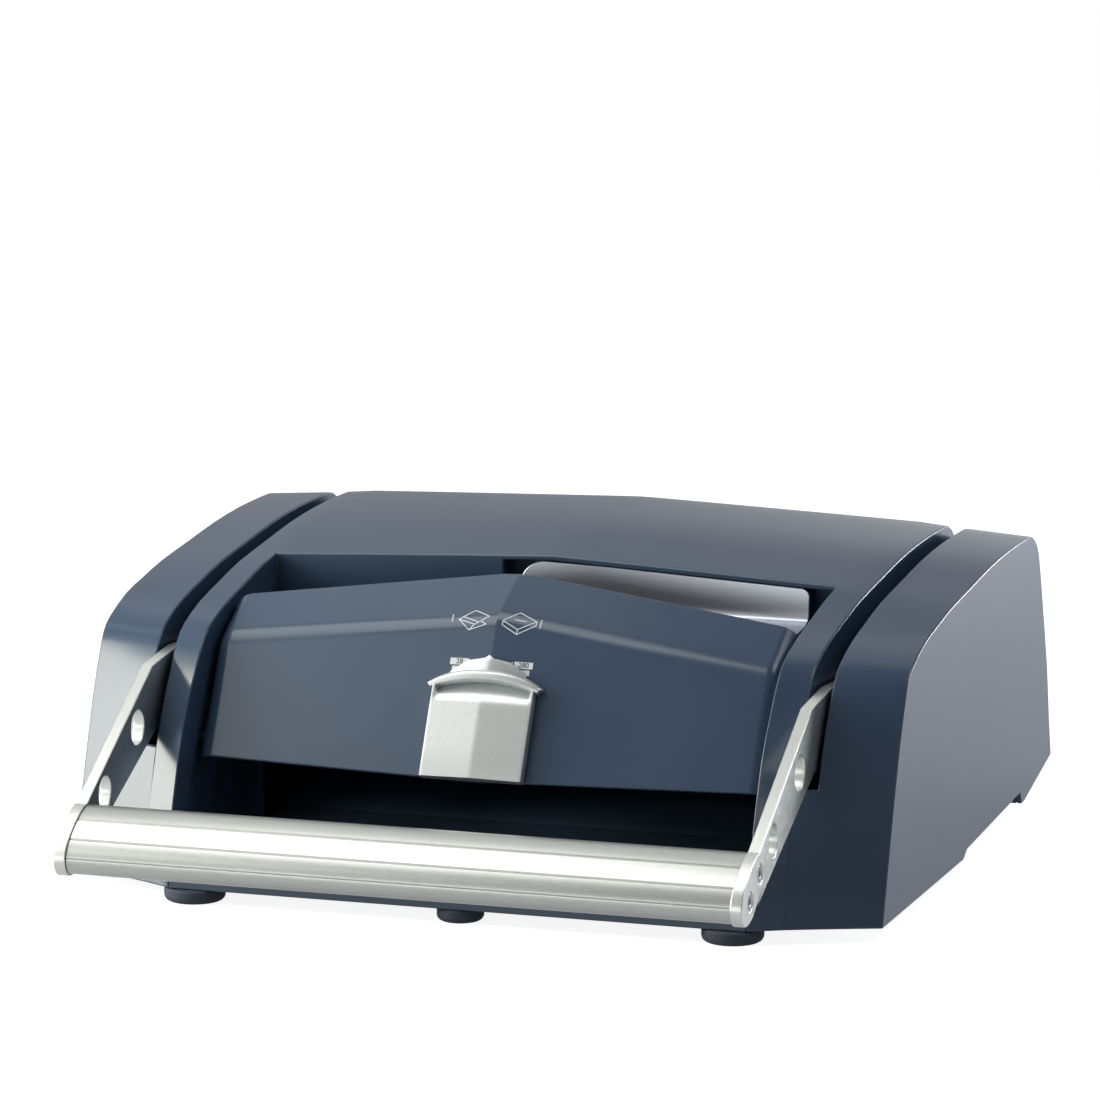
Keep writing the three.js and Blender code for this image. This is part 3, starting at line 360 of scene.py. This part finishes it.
def makeHandleBar(look):
    mesh = bmesh.new()
    bmesh.ops.create_circle(mesh, segments=look["around"], radius=1.0)
    ring = list(mesh.verts)
    bulge = 2 / look["power"]
    for vert in ring:
        across, over = vert.co.x, vert.co.y
        vert.co = Vector((0.0, math.copysign(abs(across) ** bulge, across) * look["long"] / 2,
                          math.copysign(abs(over) ** bulge, over) * look["short"] / 2))
    for line in look["lines"]:
        upper = [vert for vert in ring if vert.co.z > 0]
        nearest = min(upper, key=lambda vert: abs(vert.co.y - line))
        outward = Vector((0, nearest.co.y / look["long"], nearest.co.z / look["short"] * look["lineSteep"]))
        nearest.co -= outward.normalized() * look["lineDepth"]
    turn = Matrix.Rotation(math.radians(look["tilt"]), 4, "X")
    place = Matrix.Translation((-look["half"], *look["centre"])) @ turn
    bmesh.ops.transform(mesh, matrix=place, verts=ring)
    drawn = bmesh.ops.extrude_edge_only(mesh, edges=mesh.edges[:])["geom"]
    end = [part for part in drawn if isinstance(part, bmesh.types.BMVert)]
    bmesh.ops.translate(mesh, verts=end, vec=(2 * look["half"], 0, 0))
    bmesh.ops.holes_fill(mesh, edges=mesh.edges[:])
    bmesh.ops.scale(mesh, vec=(mm, mm, mm), verts=mesh.verts)
    piece = newPiece("handle_bar_drawn", mesh, aluminium, "lever", look["bend"])
    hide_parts("handle_bar")


makeHandleBar(handleBar)
print("handle bar made")


# The flap's lower face at its crease: its foot, the way up it and the way out from it
flapFace = {"foot": (-117.5, 72.0), "ridge": (-75.0, 155.5)}
faceFoot = Vector((0, *flapFace["foot"]))
faceUp = (Vector((0, *flapFace["ridge"])) - faceFoot).normalized()
faceOut = Vector((0, -faceUp.z, faceUp.y))
onFace = Matrix.Translation(faceFoot) @ Matrix((
    (1, 0, 0, 0), (0, faceUp.y, faceOut.y, 0), (0, faceUp.z, faceOut.z, 0), (0, 0, 0, 1)))


# Size knob: a creased face that rolls into a groove under a swelling rim, with a pointer above.
# It is drawn across and up the flap's face and out from it, in mm.
knob = {
    "half": 29.0, "crease": 1.6, "arch": 4.9, "steps": 40,
    # up and out, and how much of the crease and of the rim's arch the place has
    "profile": [(0.0, 6.5, 1.0, 0.0), (20.0, 6.5, 1.0, 0.0), (38.0, 6.5, 1.0, 0.0), (40.6, 6.5, 1.0, 0.0),
                (42.4, 6.4, 1.0, 0.0), (44.2, 6.0, 0.9, 0.1), (45.8, 5.3, 0.7, 0.2), (47.1, 4.3, 0.5, 0.35),
                (48.3, 3.2, 0.3, 0.5), (49.4, 2.1, 0.1, 0.7), (50.4, 1.2, 0.0, 0.85), (51.3, 0.6, 0.0, 1.0)],
    "wallFrom": 0.94, "wallOut": 6.2,  # ribs at both ends that carry the rim
    "back": 0.3, "edge": 0.7, "edgeBend": 50, "edgeSteps": 3,
}
knobRim = {
    "half": 33.5, "endInset": 3.2, "endDrop": 2.2, "steps": 30,
    "foot": 50.2, "footArch": 4.9, "footPower": 2.0,
    "top": 53.6, "topArch": 8.6, "topPower": 2.8,
    # share of the way from the rim's foot to its top, and out
    "profile": [(0.0, 5.4), (0.06, 6.9), (0.16, 7.7), (0.4, 8.0), (0.62, 7.9), (0.76, 7.3), (0.88, 5.9),
                (1.0, 3.2)],
    "back": 0.3, "edge": 0.5, "edgeBend": 60, "edgeSteps": 2,
}
pointer = {
    "foot": 58.0,
    # across, and up from the foot
    "outline": [(22, 0), (22, 2.6), (18.6, 5.4), (11.7, 9.7), (2.6, 11.2), (0, 13), (-2.6, 11.2),
                (-11.7, 9.7), (-18.6, 5.4), (-22, 2.6), (-22, 0)],
    "front": 3.4, "fall": -2.2,  # out at the middle, and how that changes to the ends
    "back": 0.3, "edge": 0.3, "edgeBend": 60, "edgeSteps": 2,
}
silverBend = 34


# A skin in rows that follow a profile: each of its points, with its place across and its row
def profiledSkin(mesh, look):
    rows = look["profile"]
    bmesh.ops.create_grid(mesh, x_segments=look["steps"], y_segments=len(rows) - 1, size=1.0)
    return [(vert, vert.co.x, rows[round((vert.co.y + 1) / 2 * (len(rows) - 1))]) for vert in mesh.verts]


# Draws a skin's border back to the face, closes it, rounds its sharp edges and places it on the flap
def silverPiece(name, mesh, look):
    border = [edge for edge in mesh.edges if edge.is_boundary]
    drawn = bmesh.ops.extrude_edge_only(mesh, edges=border)["geom"]
    for part in drawn:
        if isinstance(part, bmesh.types.BMVert):
            part.co.z = look["back"]
    bmesh.ops.holes_fill(mesh, edges=mesh.edges[:])
    sharp = [edge for edge in mesh.edges if edge.calc_face_angle(0) > math.radians(look["edgeBend"])]
    bmesh.ops.bevel(mesh, geom=sharp, offset=look["edge"], offset_type="OFFSET", affect="EDGES",
                    segments=look["edgeSteps"], profile=0.5, material=-1, clamp_overlap=True,
                    loop_slide=False)
    bmesh.ops.transform(mesh, matrix=Matrix.Scale(mm, 4) @ onFace, verts=mesh.verts)
    return newPiece(name, mesh, silverPaint, "knob", silverBend)


def makeKnobBody(look):
    mesh = bmesh.new()
    for vert, across, (up, out, creased, arched) in profiledSkin(mesh, look):
        up += look["arch"] * arched * (1 - across * across)
        out += look["crease"] * creased * (1 - abs(across))
        if abs(across) > look["wallFrom"]:
            out = max(out, look["wallOut"])
        vert.co = Vector((across * look["half"], up, out))
    piece = silverPiece("size_knob_body", mesh, look)
    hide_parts("size_knob")


def makeKnobRim(look):
    mesh = bmesh.new()
    for vert, across, (share, out) in profiledSkin(mesh, look):
        foot = look["foot"] + look["footArch"] * (1 - abs(across) ** look["footPower"])
        top = look["top"] + look["topArch"] * (1 - abs(across) ** look["topPower"])
        half = look["half"] - look["endInset"] * (1 - share)
        out -= look["endDrop"] * across * across
        vert.co = Vector((across * half, foot + (top - foot) * share, out))
    silverPiece("size_knob_rim", mesh, look)


def makePointer(look):
    mesh = bmesh.new()
    fall = look["fall"] / look["outline"][0][0]
    foot = mesh.verts.new((0, look["foot"], look["front"]))
    corners = [mesh.verts.new((x, look["foot"] + up, look["front"] + fall * abs(x)))
               for x, up in look["outline"]]
    tip = len(corners) // 2
    mesh.faces.new([foot, *corners[:tip + 1]])
    mesh.faces.new([foot, *corners[tip:]])
    silverPiece("size_knob_pointer", mesh, look)


makeKnobBody(knob)
makeKnobRim(knobRim)
makePointer(pointer)
print("size knob made")


# Print on the flap, in mm: a row of plain numbers that the pointer runs along, and two pictures above it
flapPrint = {
    "rise": 0.04,  # off the flap's skin
    "dropFrom": 30,  # out from the face, where it is drawn before it is laid down
    "line": 0.5, "barSteps": 8,
    # boxes: across from, across to, up from, up to
    "boxes": [(-22.4, -13.4, 65.4, 69.2), (14.6, 23.3, 65.2, 69.0), (-21.0, -13.4, 61.4, 64.6),
              (14.6, 22.0, 61.2, 64.4)],
    "ticks": {"from": -12.4, "to": 13.4, "pitch": 1.55, "width": 0.8, "foot": 66.3, "top": 68.3},
    # numbers: text, across, up, height
    "numbers": [("28", -17.9, 67.3, 3.0), ("280", 18.95, 67.1, 3.0)],
    "fontSize": 1.35, "fontWeight": 0.02,  # of a number's height
    # a folded cover, seen open, and a stack of sheets: lines from point to point, across and up
    "coverLines": [[(-22.4, 91.5), (-14.4, 97.9), (-5.2, 94.2), (-12.6, 88.8), (-22.4, 91.5)],
                   [(-22.4, 91.5), (-15.4, 85.4), (-6.0, 89.2), (-9.6, 91.2)],
                   [(-12.6, 88.8), (-15.4, 85.4)], [(-20.2, 93.3), (-10.6, 90.3)]],
    "stackLines": [[(3.4, 92.0), (11.4, 98.0), (22.2, 92.8), (12.4, 87.2), (3.4, 92.0)],
                   [(3.4, 92.0), (3.4, 89.4), (12.4, 84.4), (22.2, 90.2), (22.2, 92.8)],
                   [(12.4, 87.2), (12.4, 84.4)], [(9.6, 93.2), (16.6, 92.4)]],
    "marks": [[(-26.0, 89.6), (-26.6, 94.6)], [(24.8, 89.0), (24.6, 94.4)]],
}


# Lays flat work drawn across and up the face onto the flap's own skin
def layOnFlap(mesh, rise, dropFrom):
    flap = bmesh.new()
    flap.from_mesh(nodes["front_flap"].data)
    skin = BVHTree.FromBMesh(flap)
    for vert in mesh.verts:
        start = (onFace @ Vector((vert.co.x, vert.co.y, dropFrom))) * mm
        place, normal = skin.ray_cast(start, -faceOut)[:2]
        vert.co = place + normal * (rise + vert.co.z) * mm
    flap.free()


# A straight bar, cut in steps so that it bends with the flap and a little longer than asked, so corners close
def drawBar(mesh, start, end, width, steps):
    way = Vector((end[0] - start[0], end[1] - start[1], 0))
    middle = Vector(((start[0] + end[0]) / 2, (start[1] + end[1]) / 2, 0))
    turn = Matrix.Rotation(math.atan2(way.y, way.x), 4, "Z")
    stretch = Matrix.Diagonal((way.length / 2 + width / 4, width / 2, 1, 1))
    bmesh.ops.create_grid(mesh, x_segments=steps, y_segments=1, size=1.0,
                          matrix=Matrix.Translation(middle) @ turn @ stretch)


def makePrint(look):
    mesh = bmesh.new()
    steps = look["barSteps"]
    for x0, x1, up0, up1 in look["boxes"]:
        drawBar(mesh, (x0, (up0 + up1) / 2), (x1, (up0 + up1) / 2), up1 - up0, steps)
    ticks = look["ticks"]
    place = ticks["from"]
    while place < ticks["to"]:
        drawBar(mesh, (place, ticks["foot"]), (place, ticks["top"]), ticks["width"], steps)
        place += ticks["pitch"]
    for line in look["coverLines"] + look["stackLines"] + look["marks"]:
        for start, end in zip(line, line[1:]):
            drawBar(mesh, start, end, look["line"], steps)
    layOnFlap(mesh, look["rise"], look["dropFrom"])
    newPiece("flap_print", mesh, whiteInk, "flap")


def makeNumbers(look):
    mesh = bmesh.new()
    for number, x, up, height in look["numbers"]:
        font = bpy.data.curves.new("number", "FONT")
        font.body = number
        font.size = height * look["fontSize"]
        font.offset = look["fontWeight"] * height
        font.align_x = "CENTER"
        font.align_y = "CENTER"
        writing = bpy.data.objects.new("number", font)
        bpy.context.collection.objects.link(writing)
        flat = writing.to_mesh()
        flat.transform(Matrix.Translation((x, up, 0)))
        mesh.from_mesh(flat)
        writing.to_mesh_clear()
        bpy.data.objects.remove(writing)
    layOnFlap(mesh, 2 * look["rise"], look["dropFrom"])  # on top of the boxes
    newPiece("flap_numbers", mesh, shadeAndPrintAbs, "flap")


makePrint(flapPrint)
makeNumbers(flapPrint)
print("print on the flap made")


# The photograph's view: angles in degrees, focal length and image in its pixels, sensor in mm
camera = {"azimuth": 18.05, "elevation": 10.5, "focal": 6800, "image": 1100, "sensor": 36,
          "place": (1.1588, -3.5377, 0.8693), "sight": 50}


def aimCamera(look):
    data = bpy.data.cameras.new("camera")
    data.sensor_width = look["sensor"]
    data.lens = look["focal"] * look["sensor"] / look["image"]
    data.clip_end = look["sight"]
    eye = bpy.data.objects.new("camera", data)
    turn = Matrix.Rotation(math.radians(look["azimuth"]), 4, "Z")
    tilt = Matrix.Rotation(math.radians(90 - look["elevation"]), 4, "X")
    eye.matrix_world = Matrix.Translation(look["place"]) @ turn @ tilt
    bpy.context.collection.objects.link(eye)
    bpy.context.scene.camera = eye


aimCamera(camera)
print("camera placed")


# Studio: a pale floor, a sky of soft levels and seven lamps, in metres
warmWhite = (1.0, 1.0, 0.96)
studio = {
    "floor": "#9a9da2", "floorHalf": 6.0, "floorRoughness": 0.9,
    "floorLift": 0.89,  # light of its own that the camera sees
    "floorShare": 0.35,  # and how much of it reflections see
    "skyShare": 0.1,  # how far reflections see the white that the camera sees
    # how bright the object sees each side, and over which span of directions that comes in
    "sky": {
        "front": 0.1, "rear": 0.14, "frontToRear": (-0.5, 0.7),
        "left": 0.45, "toLeft": (0.2, -0.9),
        "right": 0.13, "toRight": (0.2, 0.9),
        # a glow low at the rear that starts left of the middle and covers the right
        "glow": 1.1, "glowAcross": (-0.33, -0.12), "glowBehind": (0.3, 0.8), "glowDown": (0.42, 0.15),
    },
    # glow is how bright a lamp looks in a mirror, where 1 is white
    "lamps": {
        "overhead": {"place": (-0.49, -0.2, 1.3), "aim": (-0.25, -0.1, 0.1), "size": (0.82, 0.8),
                     "glow": 3.0, "tint": warmWhite},
        "rightHigh": {"place": (0.8, 0.15, 1.05), "aim": (0.15, 0.0, 0.1), "size": (0.6, 0.6),
                      "glow": 2.9, "tint": (1.0, 1.0, 1.0)},
        "rearHigh": {"place": (-0.35, 0.75, 1.15), "aim": (-0.2, 0.0, 0.1), "size": (1.0, 0.6),
                     "glow": 0.5, "tint": warmWhite},
        "frontHigh": {"place": (-1.05, -1.0, 1.05), "aim": (-0.3, -0.1, 0.1), "size": (1.0, 0.6),
                      "glow": 1.6, "tint": warmWhite},
        "frontLow": {"place": (-0.65, -1.8, 0.3), "aim": (0.0, 0.0, 0.1), "size": (1.4, 0.5),
                     "glow": 2.2, "tint": warmWhite},
        "leftBox": {"place": (-1.25, -0.4, 0.43), "aim": (0.0, -0.1, 0.1), "size": (0.8, 0.8),
                    "glow": 10.5, "tint": (1.0, 0.98, 0.86)},
        "rightRear": {"place": (1.1, 1.3, 0.22), "aim": (0.2, 0.1, 0.1), "size": (1.0, 0.4),
                      "glow": 15.5, "tint": (0.97, 0.98, 1.0)},
    },
}


def lamp(name, look):
    data = bpy.data.lights.new(name, "AREA")
    data.shape = "RECTANGLE"
    data.size, data.size_y = look["size"]
    data.energy = look["glow"] * math.pi * data.size * data.size_y
    data.color = look["tint"]
    body = bpy.data.objects.new(name, data)
    body.visible_camera = False
    aim = Vector(look["aim"]) - Vector(look["place"])
    turn = aim.to_track_quat("-Z", "Y").to_matrix().to_4x4()
    body.matrix_world = Matrix.Translation(look["place"]) @ turn
    bpy.context.collection.objects.link(body)


# One for rays from the camera or through clear parts, and a share of one for reflected rays
def backgroundSeen(tree, share):
    path = addNode(tree, "ShaderNodeLightPath")
    direct = addNode(tree, "ShaderNodeMath", {"operation": "MAXIMUM"},
                     {0: path.outputs["Is Camera Ray"], 1: path.outputs["Is Transmission Ray"]})
    seen = addNode(tree, "ShaderNodeMath", {"operation": "MULTIPLY_ADD", 1: share},
                   {0: path.outputs["Is Glossy Ray"], 2: direct.outputs["Value"]})
    return seen.outputs["Value"]


# Settings for a smooth change over a span of directions
def smoothOver(span):
    return {"interpolation_type": "SMOOTHSTEP", "From Min": span[0], "From Max": span[1]}


# White to the camera; to the object a dim front and rear, pale sides and the glow low at the rear
def studioWorld(look):
    sky = look["sky"]
    world = bpy.data.worlds.new("studio")
    bpy.context.scene.world = world
    world.use_nodes = True
    tree = world.node_tree
    tree.nodes.clear()
    way = addNode(tree, "ShaderNodeSeparateXYZ",
                  links={"Vector": addNode(tree, "ShaderNodeTexCoord").outputs["Generated"]})
    x, y, z = way.outputs
    ends = addNode(tree, "ShaderNodeMapRange",
                   {**smoothOver(sky["frontToRear"]), "To Min": sky["front"], "To Max": sky["rear"]},
                   {"Value": y})
    left = addNode(tree, "ShaderNodeMapRange", {**smoothOver(sky["toLeft"]), "To Max": sky["left"]},
                   {"Value": x})
    right = addNode(tree, "ShaderNodeMapRange", {**smoothOver(sky["toRight"]), "To Max": sky["right"]},
                    {"Value": x})
    across = addNode(tree, "ShaderNodeMapRange", {**smoothOver(sky["glowAcross"]), "To Max": sky["glow"]},
                     {"Value": x})
    behind = addNode(tree, "ShaderNodeMapRange", smoothOver(sky["glowBehind"]),
                     {"Value": y, "To Max": across.outputs["Result"]})
    low = addNode(tree, "ShaderNodeMapRange", smoothOver(sky["glowDown"]),
                  {"Value": z, "To Max": behind.outputs["Result"]})
    sides = addNode(tree, "ShaderNodeMath", {"operation": "ADD"},
                    {0: left.outputs["Result"], 1: right.outputs["Result"]})
    around = addNode(tree, "ShaderNodeMath", {"operation": "ADD"},
                     {0: ends.outputs["Result"], 1: sides.outputs["Value"]})
    level = addNode(tree, "ShaderNodeMath", {"operation": "ADD"},
                    {0: around.outputs["Value"], 1: low.outputs["Result"]})
    shown = addNode(tree, "ShaderNodeMapRange", {"To Max": 1.0},
                    {"Value": backgroundSeen(tree, look["skyShare"]), "To Min": level.outputs["Value"]})
    light = addNode(tree, "ShaderNodeBackground", {"Color": (1, 1, 1, 1)},
                    {"Strength": shown.outputs["Result"]})
    addNode(tree, "ShaderNodeOutputWorld", links={"Surface": light.outputs["Background"]})


# A painted floor that a little light of its own takes to white where nothing shades it
def studioFloor(look):
    material = newMaterial("painted floor")
    tree = material.node_tree
    lift = addNode(tree, "ShaderNodeMapRange", {"To Max": look["floorLift"]},
                   {"Value": backgroundSeen(tree, look["floorShare"])})
    paint = addNode(tree, "ShaderNodeBsdfPrincipled",
                    {"Base Color": linearColour(look["floor"]), "Roughness": look["floorRoughness"],
                     "Emission Color": (1, 1, 1, 1)}, {"Emission Strength": lift.outputs["Result"]})
    addNode(tree, "ShaderNodeOutputMaterial", links={"Surface": paint.outputs["BSDF"]})
    mesh = bmesh.new()
    bmesh.ops.create_grid(mesh, x_segments=1, y_segments=1, size=look["floorHalf"])
    floor = newObject("floor", mesh, material)


studioWorld(studio)
studioFloor(studio)
for name, look in studio["lamps"].items():
    lamp(name, look)
bpy.context.scene.view_settings.view_transform = "Standard"
print("studio ready")
